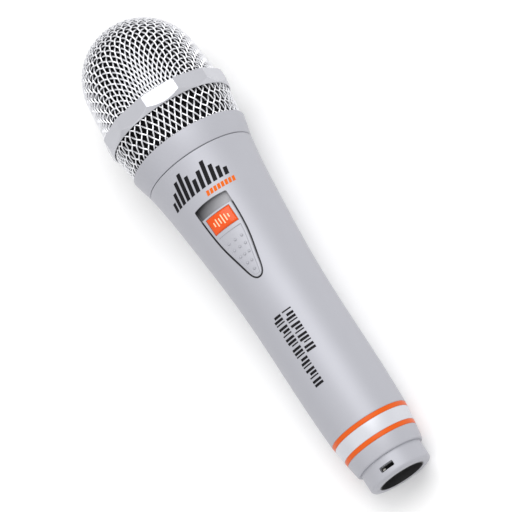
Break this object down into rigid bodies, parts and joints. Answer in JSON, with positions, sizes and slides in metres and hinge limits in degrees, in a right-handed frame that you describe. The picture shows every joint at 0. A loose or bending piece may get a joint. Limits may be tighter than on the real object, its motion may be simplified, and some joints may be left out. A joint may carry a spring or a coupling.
{
  "type": "dynamic microphone",
  "caption": "Handheld vocal microphone with a domed wire grille, slide switch, tapered handle and recessed three-contact cable socket.",
  "frame": {"origin": "centre of the cable socket's mouth at the tail", "axes": "+X along the body from the socket's mouth to the top of the grille, +Z to the side with the slide switch, +Y to the left seen from the switch with the grille ahead"},
  "size_m": [0.1944, 0.0502, 0.0502],
  "materials": {
    "silver_paint": "satin silver metallic paint over die-cast aluminium",
    "steel_mesh": "bright woven steel wire",
    "light_band": "light silver lacquer",
    "orange_ring": "smooth orange plastic",
    "orange_badge": "clear domed resin over orange",
    "black_plastic": "fine moulded black plastic",
    "rubber": "matt black rubber",
    "foam": "open-cell dark grey foam",
    "felt": "pressed acoustic felt",
    "steel": "bright zinc-plated steel",
    "brass": "bare brass",
    "nickel_pin": "nickel-plated contact",
    "magnet": "nickel-coated magnet",
    "copper_coil": "enamelled copper winding",
    "film": "thin clear film",
    "wire_cover": "wire insulation"
  },
  "bodies": {
    "handle": {"handle_shell": "silver_paint", "tail_cap": "silver_paint", "tail_sleeve": "silver_paint", "accent_band": "light_band", "orange_ring_front": "orange_ring", "orange_ring_rear": "orange_ring", "tail_screw": "steel", "connector_insert": "black_plastic", "pin_ground": "nickel_pin", "pin_hot": "nickel_pin", "pin_cold": "nickel_pin", "ground_lug": "brass", "switch_bracket": "black_plastic", "switch_body": "steel", "switch_screws": "steel", "switch_tags": "nickel_pin", "neck_sleeve": "steel", "shock_mount": "rubber", "capsule_housing": "black_plastic", "acoustic_felt": "felt", "yoke_pot": "steel", "magnet": "magnet", "pole_piece": "steel", "diaphragm_clamp": "black_plastic", "capsule_cap": "black_plastic", "capsule_screen": "felt", "terminal_board": "black_plastic", "solder_tags": "nickel_pin", "capsule_wire": "wire_cover", "output_wire": "wire_cover", "return_wire": "wire_cover"},
    "neck_seal": {"neck_gasket": "rubber"},
    "head": {"neck_collar": "silver_paint", "grille_lower": "steel_mesh", "grille_ring": "silver_paint", "grille_dome": "steel_mesh", "foam_liner": "foam"},
    "switch_slider": {"slider": "silver_paint", "slider_badge": "orange_badge", "switch_lever": "black_plastic"},
    "moving_coil": {"diaphragm": "film", "voice_coil": "copper_coil"}
  },
  "joints": [
    {"name": "head_advance", "type": "slide", "parent": "handle", "child": "neck_seal", "axis": [1, 0, 0], "range_m": [0, 0.006]},
    {"name": "head_turn", "type": "hinge", "parent": "neck_seal", "child": "head", "pos_m": [0.137, 0, 0], "axis": [1, 0, 0], "range_deg": [0, 1440]},
    {"name": "switch_slide", "type": "slide", "parent": "handle", "child": "switch_slider", "axis": [0.9967, 0, 0.0807], "range_m": [0, 0.0035]},
    {"name": "coil_travel", "type": "slide", "parent": "handle", "child": "moving_coil", "axis": [1, 0, 0], "range_m": [-0.00015, 0.00015], "stiffness_N_per_m": 1000}
  ],
  "couplings": [
    {"joint": "head_advance", "follows": "head_turn", "m_per_rad": 0.00023873}
  ]
}
